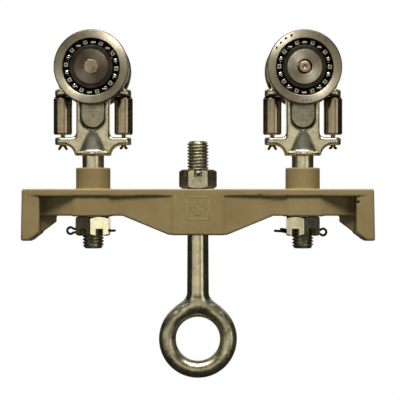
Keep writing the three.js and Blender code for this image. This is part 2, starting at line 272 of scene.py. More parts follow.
# Dark race steel, which the faces near the wheels' outer edge also take as painted shade.
RACE_AND_RIM_SHADE = turned_metal("dark_race_steel_and_painted_rim_shade", (0.030, 0.026, 0.022), (0.065, 0.054, 0.043), (0.32, 0.5), 0.5)
HUB = turned_metal("hub_steel", (0.100, 0.090, 0.065), (0.162, 0.148, 0.112), (0.32, 0.44), 0.6)
DARK_HUB = turned_metal("dark_hub_steel", (0.040, 0.033, 0.024), (0.064, 0.053, 0.038), (0.32, 0.44), 0.6)
PEENED = metal(
    "peened_axle_steel", (0.22, 0.18, 0.135), (0.66, 0.56, 0.45), (0.3, 0.45), lump=(500, 0.4)
)[0]
BALL = metal(
    "polished_ball_steel", (0.62, 0.62, 0.60), (0.72, 0.72, 0.70), (0.05, 0.09), grain=(900, 0.002)
)[0]
# Near-black steel for the cage behind the balls, the dots on its tabs and the split pins' washers: painted
# shade.
SHADE_BLACK_STEEL = metal("painted_shade_black_steel", (0.010, 0.010, 0.010), (0.03, 0.028, 0.028), (0.4, 0.6))[0]
TAB = metal("cage_tab_steel", (0.34, 0.34, 0.30), (0.60, 0.60, 0.53), (0.3, 0.45))[0]
ROLLER, _, roller_shader = metal(
    "roller_steel",
    (0.20, 0.15, 0.094),
    (0.33, 0.25, 0.162),
    (0.2, 0.3),
    lump=(70, 0.012),
    grain=(2200, 0.003),
)
roller_shader.inputs["Coat Weight"].default_value = 1.0
roller_shader.inputs["Coat Roughness"].default_value = 0.08
roller_shader.inputs["Coat IOR"].default_value = 1.9
WIRE = metal("cotter_steel", (0.02, 0.02, 0.018), (0.07, 0.065, 0.055), (0.3, 0.5))[0]


# -------------------- meshes
def added(name, data):
    """A new object in the scene."""
    made = bpy.data.objects.new(name, data)
    bpy.context.scene.collection.objects.link(made)
    return made


def tube_faces(rings, sides, closed=False):
    """The quads between rings of points, each ring joined to the next."""
    faces = []
    for i in range(rings if closed else rings - 1):
        here, there = i * sides, (i + 1) % rings * sides
        for k in range(sides):
            n = (k + 1) % sides
            faces.append((here + k, here + n, there + n, there + k))
    return faces


def mesh_piece(name, verts, faces, material, sharp=35.0):
    """A mesh object from millimetre points."""
    mesh = bpy.data.meshes.new(name)
    mesh.from_pydata((np.asarray(verts) * MM).tolist(), [], faces)
    mesh.update()
    mesh.materials.append(material)
    mesh.shade_smooth()
    mesh.set_sharp_from_angle(angle=math.radians(sharp))
    return added(name, mesh)


def edited_piece(name, edit, *materials):
    """An object from an edit mesh in metres, which is freed."""
    mesh = bpy.data.meshes.new(name)
    edit.to_mesh(mesh)
    edit.free()
    for material in materials:
        mesh.materials.append(material)
    return added(name, mesh)


def fit(piece, body, slot, nodes=(), at=(0, 0, 0), turn=0.0, flip=False):
    """Puts a piece in place, turned about z, ties it to its body and hides its CAD nodes. The slot is not
    used.
    """
    pose = Matrix.Translation(Vector(at) * MM) @ Matrix.Rotation(math.radians(turn), 4, "Z")
    if flip:
        pose = pose @ Matrix.Rotation(math.pi, 4, "X")
    piece.matrix_world = pose
    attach(piece, body)
    if nodes:
        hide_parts(*nodes)
    return piece


def fit_copy(pattern, name, *where, **how):
    """Puts a copy of a pattern in place, as fit does."""
    return fit(added(name, pattern.data), *where, **how)


def turned(name, profile, material, steps=96, axis="z", sharp=35.0):
    """A closed or axis-ended profile of (radius, height) points turned about z, or about y towards -y."""
    profile = np.array(profile, dtype=float)
    closed = np.allclose(profile[0], profile[-1])
    rings = profile[:-1] if closed else profile
    angles = np.arange(steps) * 2 * math.pi / steps
    verts = []
    for r, h in rings:
        for a in angles:
            verts.append((r * math.cos(a), r * math.sin(a), h))
    verts = np.array(verts)
    if axis == "y":
        verts = np.stack([verts[:, 0], -verts[:, 2], verts[:, 1]], axis=1)
    piece = mesh_piece(name, verts, tube_faces(len(rings), steps, closed), material, sharp)
    edit = bmesh.new()
    edit.from_mesh(piece.data)
    bmesh.ops.remove_doubles(edit, verts=edit.verts, dist=1e-7)
    bmesh.ops.recalc_face_normals(edit, faces=edit.faces)
    edit.to_mesh(piece.data)
    edit.free()
    piece.data.set_sharp_from_angle(angle=math.radians(sharp))
    return piece


def rounded(profile, radius, steps=4):
    """A profile with each inner corner rounded."""
    out = [np.array(profile[0], dtype=float)]
    for before, corner, after in zip(profile, profile[1:], profile[2:]):
        corner = np.array(corner, dtype=float)
        back = np.array(before) - corner
        on = np.array(after) - corner
        reach = min(radius, np.linalg.norm(back) * 0.45, np.linalg.norm(on) * 0.45)
        start = corner + back / np.linalg.norm(back) * reach
        end = corner + on / np.linalg.norm(on) * reach
        for i in range(steps + 1):
            t = i / steps
            out.append((1 - t) ** 2 * start + 2 * t * (1 - t) * corner + t**2 * end)
    out.append(np.array(profile[-1], dtype=float))
    return out


def swept(name, path, radius, material, sides=16):
    """Round wire along a path of points, with domed ends."""
    path = [Vector(p) for p in path]
    tangents = []
    for i in range(len(path)):
        tangents.append((path[min(i + 1, len(path) - 1)] - path[max(i - 1, 0)]).normalized())
    across = tangents[0].orthogonal().normalized()
    verts = []
    rings = [(path[0] - tangents[0] * radius * 0.7, tangents[0], 0.45)]
    rings += [(p, t, 1.0) for p, t in zip(path, tangents)]
    rings += [(path[-1] + tangents[-1] * radius * 0.7, tangents[-1], 0.45)]
    for centre, tangent, share in rings:
        across = (across - tangent * across.dot(tangent)).normalized()
        other = tangent.cross(across)
        for k in range(sides):
            a = 2 * math.pi * k / sides
            verts.append(centre + (across * math.cos(a) + other * math.sin(a)) * radius * share)
    caps = [tuple(reversed(range(sides))), tuple(range(len(verts) - sides, len(verts)))]
    faces = caps + tube_faces(len(rings), sides)
    return mesh_piece(name, [tuple(v) for v in verts], faces, material, 60)


def joined(name, pieces):
    """Several pieces made into one object."""
    edit = bmesh.new()
    materials = []
    for piece in pieces:
        offset = {}
        for i, material in enumerate(piece.data.materials):
            if material not in materials:
                materials.append(material)
            offset[i] = materials.index(material)
        start = len(edit.faces)
        mesh = piece.data
        mesh.transform(piece.matrix_world)
        edit.from_mesh(mesh)
        edit.faces.ensure_lookup_table()
        for face in edit.faces[start:]:
            face.material_index = offset[face.material_index]
        bpy.data.objects.remove(piece)
    return edited_piece(name, edit, *materials)


def baked(piece):
    """The piece's mesh with its modifiers applied."""
    scene_now = bpy.context.evaluated_depsgraph_get()
    mesh = bpy.data.meshes.new_from_object(piece.evaluated_get(scene_now))
    piece.modifiers.clear()
    piece.data = mesh
    return piece


# -------------------- shapes as distance fields
# Each function gives the distance in millimetres from points to a solid, negative inside it.
def box_field(place, low, high, r=0.8):
    """A box, or in two dimensions a rectangle, with rounded edges."""
    centre = (np.array(low) + np.array(high)) / 2
    half = (np.array(high) - np.array(low)) / 2 - r
    q = [np.abs(v - c) - h for v, c, h in zip(place, centre, half)]
    outside = np.sqrt(sum(np.maximum(v, 0) ** 2 for v in q))
    inside = np.minimum(np.maximum.reduce(q), 0)
    return outside + inside - r


def capped(flat, along, half, r=0.8):
    """A flat outline's distance field, made solid over |along| < half, with rounded rims."""
    a = flat + r
    b = np.abs(along) - half + r
    return np.minimum(np.maximum(a, b), 0) + np.hypot(np.maximum(a, 0), np.maximum(b, 0)) - r


def outline_field(u, v, points):
    """Distance to a closed flat outline."""
    best = np.full(u.shape, 1e9)
    inside = np.zeros(u.shape, dtype=bool)
    for (u0, v0), (u1, v1) in zip(points, points[1:] + points[:1]):
        du, dv = u1 - u0, v1 - v0
        t = np.clip(((u - u0) * du + (v - v0) * dv) / (du * du + dv * dv), 0, 1)
        best = np.minimum(best, (u - u0 - t * du) ** 2 + (v - v0 - t * dv) ** 2)
        if v0 != v1:
            crosses = (v0 > v) != (v1 > v)
            inside ^= crosses & (u < du * (v - v0) / dv + u0)
    return np.where(inside, -1, 1) * np.sqrt(best)


def blended(a, b, k):
    """The union of two fields, with a fillet about k wide in the corner between them."""
    h = np.maximum(k - np.abs(a - b), 0) / k
    return np.minimum(a, b) - h * h * k / 4


def common(a, b, k=0.8):
    """The overlap of two fields, the rim rounded."""
    return -blended(-a, -b, k)


def carved(a, b, k=0.8):
    """The first field with the second cut out of it, the rim rounded."""
    return common(a, -b, k)


def solid_from_field(name, field, low, high, step, material, sharp=50.0):
    """The surface where a field is zero, found on a grid and then drawn onto the true surface."""
    axes = [np.arange(lo - 2 * step, hi + 2.5 * step, step) for lo, hi in zip(low, high)]
    grid = np.meshgrid(*axes, indexing="ij")
    value = field(*grid)
    shape = tuple(n - 1 for n in value.shape)
    total = np.zeros((*shape, 3), dtype=np.float32)
    hits = np.zeros(shape, dtype=np.float32)
    quads = []
    for axis in range(3):
        head = [slice(None)] * 3
        tail = [slice(None)] * 3
        head[axis] = slice(0, -1)
        tail[axis] = slice(1, None)
        a, b = value[tuple(head)], value[tuple(tail)]
        cross = (a < 0) != (b < 0)
        t = np.where(cross, a / np.where(cross, a - b, 1), 0)
        others = [n for n in range(3) if n != axis]
        for shift in ((0, 0), (0, 1), (1, 0), (1, 1)):
            part = [slice(0, shape[axis])] * 3
            for other, offset in zip(others, shift):
                part[other] = slice(offset, offset + shape[other])
            here = cross[tuple(part)]
            hits += here
            total[..., axis] += np.where(here, t[tuple(part)], 0)
            for other, offset in zip(others, shift):
                total[..., other] += here * offset
        quads.append((axis, others, cross, a < 0))
    active = hits > 0
    index = np.full(shape, -1, dtype=np.int64)
    index[active] = np.arange(active.sum())
    cells = np.argwhere(active)
    origin = np.array([axis[0] for axis in axes])
    verts = origin + (cells + total[active] / hits[active][:, None]) * step
    faces = []
    for axis, (one, two), cross, starts_inside in quads:
        spots = np.argwhere(cross)
        keep = (spots[:, one] > 0) & (spots[:, two] > 0)
        keep &= (spots[:, one] < shape[one]) & (spots[:, two] < shape[two])
        spots = spots[keep]
        corners = []
        for back in ((1, 1), (0, 1), (0, 0), (1, 0)):
            cell = spots.copy()
            cell[:, one] -= back[0]
            cell[:, two] -= back[1]
            corners.append(index[tuple(cell.T)])
        ring = np.stack(corners, axis=1)
        outwards = starts_inside[tuple(spots.T)]
        if axis == 1:
            outwards = ~outwards
        ring[~outwards] = ring[~outwards][:, ::-1]
        faces.append(ring)
    for _ in range(3):
        x, y, z = verts.T
        here = field(x, y, z)
        e = 0.02
        slope = np.stack(
            [field(x + e, y, z) - here, field(x, y + e, z) - here, field(x, y, z + e) - here], axis=1
        ) / e
        size = np.maximum((slope**2).sum(axis=1), 0.25)
        move = slope * (here / size)[:, None]
        verts = verts - np.clip(move, -step, step)
    return mesh_piece(name, verts, np.concatenate(faces).tolist(), material, sharp)


# -------------------- load bar
# Half thicknesses of the web: at the end plate, at a stud's lug and at the block.
WEB_Y = 6.0
INNER_WEB_Y = (14.6, 16.2)
GUSSET_Y = 3.0
GUSSET_TOP_Z = -61.0
# The gusset stops short of the end face, so that its fillet does not swell past it.
GUSSET_SETBACK = 3.0
LUG_X = 13.9
LUG_Y = 15.6
LUG_CORNER = 3.2
LUG_Z = (-80.0, -62.0)
UPPER_BOSS_R = 12.5
UPPER_BOSS_LOW_Z = -70.0
BORE_PLAY = 0.3
WEB_KNEE_X = 54.5
END_PLATE_FACE = 8.2
END_PLATE_ROOT = 13.4
END_PLATE_ROOT_Y = 15.8
END_DRAFT = 0.7 / (FLANGE_Z[1] - BAR_BOTTOM_Z)
# Small casting pits, each (x, y, z, radius).
PITS = [(114.8, -14.9, -69.9, 1.3), (112.4, -10.0, -72.3, 0.7), (44.5, -17.2, -65.0, 1.0)]


def mirrored(points):
    return points + [(-u, v) for u, v in reversed(points)]


def thickening_web(outline, ax, y, start, end, depths):
    """A web whose half thickness grows evenly between two distances along the bar."""
    share = np.clip((start - ax) / (start - end), 0, 1)
    reach = depths[0] + share * (depths[1] - depths[0])
    return capped(outline, y * depths[1] / reach, depths[1], 0.9)


def bar_field(x, y, z):
    ax, ay = np.abs(x), np.abs(y)
    end_face = ax - BAR_X + END_DRAFT * (z - BAR_BOTTOM_Z)
    flange = common(box_field((y, z), (-BAR_Y, FLANGE_Z[0]), (BAR_Y, FLANGE_Z[1]), 0.9), end_face, 2.2)
    web_end = BAR_X - 4
    web_half = [(web_end, -62), (web_end, WEB_BOTTOM_Z), (WEB_KNEE_X, WEB_BOTTOM_Z), (21, BLOCK_BOTTOM_Z)]
    web_outline = outline_field(x, z, mirrored(web_half))
    web = capped(web_outline, y, WEB_Y, 0.9)
    inner_x = TROLLEY_X - 14
    inner_outline = np.maximum(web_outline, (ax - inner_x - 1) * 0.9)
    inner = thickening_web(inner_outline, ax, y, inner_x, BLOCK_X, INNER_WEB_Y)
    plate_x = BAR_X - END_PLATE_ROOT
    outer_x = TROLLEY_X + LUG_X
    outer_outline = np.maximum(web_outline, outer_x - 2 - ax)
    outer = thickening_web(outer_outline, ax, y, plate_x, outer_x, (WEB_Y, INNER_WEB_Y[0]))
    block = box_field((x, y, z), (-BLOCK_X, -BAR_Y, BLOCK_BOTTOM_Z), (BLOCK_X, BAR_Y, -62), 0.9)
    from_stud = np.hypot(ax - TROLLEY_X, y)
    upper_half = (BOSS_TOP_Z - UPPER_BOSS_LOW_Z) / 2
    upper = capped(from_stud - UPPER_BOSS_R, z - (BOSS_TOP_Z + UPPER_BOSS_LOW_Z) / 2, upper_half, 0.8)
    lug = box_field((ax - TROLLEY_X, y), (-LUG_X, -LUG_Y), (LUG_X, LUG_Y), LUG_CORNER)
    lower = capped(lug, z - sum(LUG_Z) / 2, (LUG_Z[1] - LUG_Z[0]) / 2, 0.9)
    bevel_run = END_PLATE_ROOT - END_PLATE_FACE
    bevel_rise = BAR_Y - END_PLATE_ROOT_Y
    bevel = (ay - BAR_Y) * bevel_run - (ax - BAR_X + END_PLATE_FACE) * bevel_rise
    bevel = bevel / math.hypot(bevel_run, bevel_rise)
    side_view = outline_field(
        ax,
        z,
        [(BAR_X + 5, -57), (103, -57), (103, -84), (BAR_X - 6, BAR_BOTTOM_Z), (BAR_X + 5, BAR_BOTTOM_Z)],
    )
    end = common(end_face, ay - BAR_Y, 2.4)
    end = common(end, bevel, 1.5)
    end = common(end, plate_x - ax, 0.8)
    end = common(end, side_view, 1.6)
    end = common(end, z - FLANGE_Z[1], 1.6)
    gusset_limit = np.maximum(ax - BAR_X + GUSSET_SETBACK, z - GUSSET_TOP_Z)
    gusset = common(capped(side_view, y, GUSSET_Y, 0.8), gusset_limit)
    whole = np.minimum(np.minimum(flange, end), block)
    whole = blended(whole, web, 1.5)
    whole = blended(whole, inner, 1.2)
    whole = blended(whole, outer, 1.0)
    whole = blended(whole, lower, 1.5)
    whole = blended(whole, gusset, 1.5)
    whole = blended(whole, upper, 0.8)
    bore = np.minimum(from_stud, np.hypot(x, y)) - STUD_R - BORE_PLAY
    whole = carved(whole, bore, 0.8)
    for px, py, pz, r in PITS:
        pit = np.sqrt((x - px) ** 2 + (y - py) ** 2 + (z - pz) ** 2) - r
        whole = carved(whole, pit, 0.5)
    return whole


bar = solid_from_field("load_bar_casting", bar_field, BAR_LOW, BAR_HIGH, 0.8, PAINT)
fit(bar, "load_bar", "bar_paint", ["load_bar"])


def bevel_edges(edit, width):
    bmesh.ops.bevel(edit, geom=list(edit.edges), offset=width, segments=2, affect="EDGES", profile=0.6)


def raised_bars(name, bars, height, material):
    """Low bevelled bars on a face towards -y: each (middle x, middle z, length, width, degrees)."""
    edit = bmesh.new()
    for x, z, length, width, turn in bars:
        made = bmesh.ops.create_cube(edit, size=1.0)["verts"]
        place = (
            Matrix.Translation((x, 0, z))
            @ Matrix.Rotation(math.radians(turn), 4, "Y")
            @ Matrix.Diagonal((length, height * 2, width, 1))
        )
        bmesh.ops.transform(edit, matrix=place, verts=made)
    bevel_edges(edit, height * 0.45)
    bmesh.ops.scale(edit, vec=(MM, MM, MM), verts=edit.verts)
    piece = edited_piece(name, edit, material)
    piece.data.shade_smooth()
    return piece


def square_outline(side, width, turn=0.0):
    """Four bars along a square's edges."""
    bars = []
    for i in range(4):
        a = math.radians(turn + 90 * i)
        bars.append((side / 2 * math.sin(a), side / 2 * math.cos(a), side + width, width, turn + 90 * i))
    return bars


# A plain raised frame round a diamond marks the block's front.
mark = raised_bars(
    "casting_mark", square_outline(15.8, 0.8) + square_outline(7.6, 0.8, 45), 0.22, PAINT
)
fit(mark, "load_bar", "bar_paint", at=(0, -BAR_Y + 0.05, -74.2))


# -------------------- threads
def threaded(name, low, high, material, chamfer_low=0.0, chamfer_high=0.0, steps=72, per_turn=10):
    """A right-hand 5/8 inch 11 thread from low to high, with chamfered ends."""
    heights = np.arange(low, high + 1e-6, THREAD_PITCH / per_turn)
    angles = np.arange(steps) * 2 * math.pi / steps
    a, z = np.meshgrid(angles, heights)
    phase = (z / THREAD_PITCH - a / (2 * math.pi)) % 1.0
    flank = np.clip(np.abs(phase - 0.5) * 2.5 - 0.125, 0, 1)
    r = STUD_R - THREAD_DEPTH * flank
    for end, cut in ((z - low, chamfer_low), (heights[-1] - z, chamfer_high)):
        if cut:
            r = np.minimum(r, STUD_R - cut + end * 0.9)
    verts = np.stack([r * np.cos(a), r * np.sin(a), z], axis=-1).reshape(-1, 3)
    caps = [tuple(reversed(range(steps))), tuple(range(len(verts) - steps, len(verts)))]
    return mesh_piece(name, verts, caps + tube_faces(len(heights), steps), material, 70)


# -------------------- trolley body
HEAD_R = 14.0
AXLE_BOSS_R = 11.0
AXLE_BOSS_Y = 8.7
EDGE_R = 2.1
PIN_BORE_R = 1.9
POCKET_R = 9.25
POCKET_Z = -7.75
POCKET_FLOOR_Y = 4.2
POCKET_TOP_Z = 12.0
CONE_TOP_Z = -18.8
CONE_FLATNESS = 1.15
CONE_SLOPE = 0.29
COLLAR_R = 12.7
SHANK_Z = (-60.0, -30.0)
BODY_TOP_Z = 40.0


def body_field(x, y, z):
    ax, ay = np.abs(x), np.abs(y)
    # The front view's outline: neck, round head, four arms and a skirt.
    neck = box_field((x, z), (-NECK_X, -34), (NECK_X, AXLE_Z + 5), 0.5)
    head = np.hypot(x, z - AXLE_Z) - HEAD_R
    arm_x = ROLLER_X + BODY_Y
    upper_low = UPPER_ARM_Z[0] - 0.2 + 0.9 * np.clip(1 - (ax - 18) ** 2 / 60, 0, 1)
    upper = box_field((x, z - upper_low), (-arm_x, 0), (arm_x, UPPER_ARM_Z[1] - UPPER_ARM_Z[0]), 1.8)
    lower = box_field((x, z), (-arm_x, LOWER_ARM_Z[0]), (arm_x, LOWER_ARM_Z[1]), 0.5)
    skirt = outline_field(
        x,
        z,
        mirrored([(20, -26.0), (18.6, -28.6), (16.4, -29.9), (14.7, -31.6), (13.5, -33.6), (13.1, BASE_Z)]),
    )
    outline = blended(neck, head, 4.0)
    outline = blended(outline, upper, 4.5)
    outline = blended(outline, lower, 4.5)
    outline = blended(outline, skirt, 2.0)
    # Seen from above, the body is a bar with round ends.
    plan = np.hypot(np.maximum(ax - ROLLER_X, 0), y) - BODY_Y
    a, b = outline + EDGE_R, plan + EDGE_R
    whole = np.minimum(np.maximum(a, b), 0) + np.hypot(np.maximum(a, 0), np.maximum(b, 0)) - EDGE_R
    hub = capped(np.hypot(x, z - AXLE_Z) - AXLE_BOSS_R, y, AXLE_BOSS_Y, 0.6)
    whole = blended(whole, hub, 1.5)
    # A flattened cone swells out of the neck down to the round collar the body swivels on.
    from_axis = np.hypot(x, y)
    cone = np.hypot(x, y * CONE_FLATNESS) - BODY_Y * CONE_FLATNESS - (CONE_TOP_Z - z) * CONE_SLOPE
    cone = cone / CONE_FLATNESS
    cone = np.maximum(cone, np.maximum(z - CONE_TOP_Z, BASE_Z - z))
    collar = capped(from_axis - COLLAR_R, z - (BASE_Z + 0.6), 0.6, 0.4)
    whole = blended(whole, blended(cone, collar, 2.6), 0.9)
    pocket_flat = np.where(z < POCKET_Z, np.hypot(x, z - POCKET_Z), ax) - POCKET_R
    pocket = np.maximum(pocket_flat * 0.8 + (BODY_Y - ay) * 0.45, POCKET_FLOOR_Y - ay)
    pocket = np.maximum(pocket, z - POCKET_TOP_Z)
    whole = carved(whole, pocket, 1.3)
    pins = np.hypot(ax - ROLLER_X, y) - PIN_BORE_R
    whole = carved(whole, pins, 0.6)
    shank_middle = (SHANK_Z[0] + SHANK_Z[1]) / 2
    shank = capped(from_axis - STUD_R, z - shank_middle, SHANK_Z[1] - shank_middle, 0.5)
    whole = np.minimum(whole, shank)
    return np.maximum(whole, np.maximum(SHANK_Z[0] - z, z - BODY_TOP_Z))


forged_body = solid_from_field(
    "trolley_forging", body_field, (-29, -13.2, -61), (29, 13.2, AXLE_Z + 15), 0.55, FORGED
)

# The pocket and the cone below it take a darker zinc than the face round them: painted shade in the pocket
# under the wheels, and a painted dark reflection on the cone.
forged_body.data.materials.append(POCKET_AND_CONE_SHADE)
for face in forged_body.data.polygons:
    x, y, z = face.center / MM
    in_pocket = abs(y) < BODY_Y - 0.5 and abs(x) < POCKET_R + 0.5
    in_pocket = in_pocket and POCKET_Z - POCKET_R + 0.2 < z < POCKET_TOP_Z
    on_cone = abs(y) > BODY_Y + 0.1 and BASE_Z + 3.2 < z < CONE_TOP_Z - 0.8
    if in_pocket or on_cone:
        face.material_index = 1

THREAD_TOP_Z = -88.0
lower_stud = threaded("trolley_stud_thread", STUD_END_Z, THREAD_TOP_Z, THREAD, chamfer_low=2.1)
hidden_stud = turned(
    "trolley_stud", [(0, THREAD_TOP_Z), (STUD_R, THREAD_TOP_Z), (STUD_R, -58), (0, -58)], SHANK
)

# Two plain bars over a diamond mark the pocket.
diamond = [
    (across * 1.6, up * 1.6 - 3.4, 5.0, 1.1, 45 * across * up)
    for up in (1, -1)
    for across in (-1, 1)
]
pocket_mark = raised_bars(
    "pocket_mark", [(0, 4.4, 6.4, 1.0, 0), (0, 2.2, 6.4, 1.0, 0)] + diamond, 0.55, FORGED
)
POCKET_MARK_Z = -7.0

# -------------------- bearing wheel
wheel_profile = rounded(
    [
        (OUTER_RACE_R + 1.3, BALL_Y),
        (OUTER_RACE_R + 1.2, BALL_Y + 1.7),
        (OUTER_RACE_R, BALL_Y + 3.0),
        (OUTER_RACE_R, WHEEL_FACE_Y - 0.5),
        (OUTER_RACE_R + 0.5, WHEEL_FACE_Y),
        (WHEEL_R - 0.6, WHEEL_FACE_Y),
        (WHEEL_R, WHEEL_FACE_Y - 0.7),
        (WHEEL_R, WHEEL_BACK_Y + 1.0),
        (WHEEL_R - 1.0, WHEEL_BACK_Y),
        (OUTER_RACE_R, WHEEL_BACK_Y),
        (OUTER_RACE_R, BALL_Y - 3.0),
        (OUTER_RACE_R + 1.2, BALL_Y - 1.7),
        (OUTER_RACE_R + 1.3, BALL_Y),
    ],
    0.35,
    3,
)
wheel_ring = turned("wheel_ring", wheel_profile, TREAD, 160, "y", 30)
# The race bore takes the dark race steel; the faces near the outer edge take it too, as painted shade round
# the wheel.
wheel_ring.data.materials.append(RACE_AND_RIM_SHADE)
for face in wheel_ring.data.polygons:
    from_axle = math.hypot(face.center.x, face.center.z) / MM
    if from_axle < OUTER_RACE_R + 0.3 or WHEEL_R - 0.4 < from_axle < WHEEL_R - 0.1:
        face.material_index = 1

# Plain stamped pips on one wheel face, each (degrees round the axle, size).
PIPS = [(113, 1.9), (124, 1.9), (135, 1.9), (146, 1.7), (-93, 1.0), (-87, 1.0), (-80, 1.0)]
PIP_R = 24.2

race_profile = rounded(
    [
        (AXLE_R + 0.4, 9.1),
        (INNER_RACE_R, 9.1),
        (INNER_RACE_R, BALL_Y - 2.9),
        (INNER_RACE_R - 1.0, BALL_Y - 1.6),
        (INNER_RACE_R - 1.0, BALL_Y + 1.6),
        (INNER_RACE_R, BALL_Y + 2.9),
        (INNER_RACE_R, 19.5),
        (INNER_RACE_R - 0.4, 19.9),
        (AXLE_R + 0.4, 19.9),
        (AXLE_R + 0.4, 9.1),
    ],
    0.3,
    3,
)
race = turned("inner_ring", race_profile, RACE_AND_RIM_SHADE, 96, "y", 30)

washer_profile = rounded(
    [
        (AXLE_R + 0.2, 20.0),
        (HUB_R, 20.0),
        (HUB_R, 20.5),
        (HUB_R - 0.35, 20.68),
        (7.4, 20.55),
        (AXLE_R + 0.2, 20.6),
        (AXLE_R + 0.2, 20.0),
    ],
    0.15,
    3,
)
washers = {
    "left": turned("dark_hub_washer", washer_profile, DARK_HUB, 96, "y", 30),
    "right": turned("hub_washer", washer_profile, HUB, 96, "y", 30),
}

# One axle end is peened over unevenly, the other is turned with a small centre dimple.
peened_end = turned(
    "peened_axle",
    rounded(
        [(0, -20.5), (AXLE_R, -20.5), (AXLE_R, 20.1), (5.3, 20.5), (4.9, 20.8), (3.4, 20.88), (0, 20.75)],
        0.4,
        4,
    ),
    PEENED,
    96,
    "y",
)
dimpled_end = turned(
    "dimpled_axle",
    rounded(
        [(0, -19.0), (4.1, -19.0), (4.1, 20.6), (3.6, 20.88), (1.7, 20.85), (1.3, 20.2), (0, 19.4)],
        0.2,
        4,
    ),
    PEENED,
    96,
    "y",
)
RAGGED_SHARE = 0.35
for vert in peened_end.data.vertices:
    x, y, z = vert.co / MM
    if y < -20.2 and math.hypot(x, z) > 3.0:
        a = math.atan2(z, x)
        ragged = 0.10 * math.sin(7 * a + 1) + 0.08 * math.sin(13 * a) + 0.05 * math.sin(23 * a + 2)
        vert.co.x += x * ragged * RAGGED_SHARE * MM
        vert.co.z += z * ragged * RAGGED_SHARE * MM

CAGE_R = (15.85, 20.05)
CAGE_Y = (12.0, 12.8)
TAB_Y = 18.5
TAB_SIZE = 3.1
TAB_THICKNESS = 0.7
STEM_R = 1.1
RIVET_R = 0.66


def disc(name, radius, low, high, material):
    """A short plain rod along y."""
    return turned(name, [(0, low), (radius, low), (radius, high), (0, high)], material, 16, "y")


def ball_cage(name, first_ball):
    """Ten balls, and the cage whose bright tabs stand between them. The cage's rim and stems and a dot on
    each tab are near-black: painted shade.
    """
    inner, outer = CAGE_R
    back, front = CAGE_Y
    section = [(inner, back), (outer, back), (outer, front), (inner, front), (inner, back)]
    parts = [turned("cage_rim", rounded(section, 0.2, 2), SHADE_BLACK_STEEL, 80, "y")]
    for i in range(BALL_COUNT):
        for kind, turn in (("ball", 0.0), ("tab", 180 / BALL_COUNT)):
            a = math.radians(first_ball + turn + i * 360 / BALL_COUNT)
            edit = bmesh.new()
            if kind == "ball":
                bmesh.ops.create_icosphere(edit, subdivisions=4, radius=BALL_R)
                offset = Matrix.Translation((0, -BALL_Y, BALL_PITCH_R))
                bmesh.ops.transform(edit, matrix=offset, verts=edit.verts)
            else:
                bmesh.ops.create_cube(edit, size=1.0)
                place = Matrix.Translation((0, -TAB_Y, BALL_PITCH_R))
                shape = place @ Matrix.Diagonal((TAB_SIZE, TAB_THICKNESS, TAB_SIZE, 1))
                bmesh.ops.transform(edit, matrix=shape, verts=edit.verts)
                bevel_edges(edit, 0.25)
            bmesh.ops.transform(edit, matrix=Matrix.Rotation(a, 4, "Y"), verts=edit.verts)
            bmesh.ops.scale(edit, vec=(MM, MM, MM), verts=edit.verts)
            part = edited_piece(kind, edit, BALL if kind == "ball" else TAB)
            part.data.shade_smooth()
            parts.append(part)
            if kind == "tab":
                stem = disc("tab_stem", STEM_R, 12.5, TAB_Y - 0.2, SHADE_BLACK_STEEL)
                rivet = disc("tab_rivet", RIVET_R, TAB_Y, TAB_Y + 0.375, SHADE_BLACK_STEEL)
                for part in (stem, rivet):
                    part.data.transform(Matrix.Translation((0, 0, BALL_PITCH_R * MM)))
                    part.data.transform(Matrix.Rotation(a, 4, "Y"))
                    parts.append(part)
    return joined(name, parts)


# -------------------- side rollers and split pins
low, high = ROLLER_LOW[2], ROLLER_HIGH[2]
roller_profile = rounded(
    [
        (1.9, low + 0.3),
        (2.6, low),
        (ROLLER_R - 1.0, low),
        (ROLLER_R, low + 0.9),
        (ROLLER_R, high - 0.5),
        (ROLLER_R - 0.6, high),
        (2.6, high),
        (1.9, high - 0.3),
        (1.9, low + 0.3),
    ],
    0.5,
    4,
)
side_roller = turned("side_roller", roller_profile, ROLLER, 80, "z", 30)
ROLLER_TOP = high + 0.05


def arc(centre, radius, start, end, steps):
    """Points round a centre in the xz plane, between two angles in degrees."""
    points = []
    for i in range(steps + 1):
        a = math.radians(start + (end - start) * i / steps)
        u, v = radius * math.cos(a), radius * math.sin(a)
        points.append((centre[0] + u, centre[1], centre[2] + v))
    return points


def split_pin(name, legs):
    """A wire eye above the upper arm, a shank through the roller, and two legs bent open under the arm."""
    top = UPPER_ARM_Z[1]
    eye_z = top + 3.3
    parts = [swept("pin_shank", [(0, 0, z) for z in (-28.6, -10, 5, top + 0.6)], 1.55, SHANK, 20)]
    parts.append(swept("pin_eye", arc((0, 0, eye_z), 2.35, -75, 255, 28), WIRE_R, WIRE, 12))
    # The washer under the upper arm is near-black: painted shade in the gap.
    washer = [(1.6, ROLLER_TOP), (6.0, ROLLER_TOP), (6.0, 6.6), (1.6, 6.6)]
    parts.append(turned("pin_washer", washer, SHADE_BLACK_STEEL, 48))
    for path in legs:
        parts.append(swept("pin_leg", [(x, 0, z) for x, z in path], LEG_R, WIRE, 12))
    return joined(name, parts)


# Each leg is a path of (x, z).
FORKED_LEGS = [[(s * 1.0, -28.0), (s * 1.4, -29.2), (s * 2.1, -30.3), (s * 2.7, -31.3)] for s in (-1, 1)]
FLAT_LEGS = [[(s * 0.9, -28.0), (s * 1.0, -29.6), (s * 1.5, -30.4), (s * 2.3, -30.6)] for s in (-1, 1)]


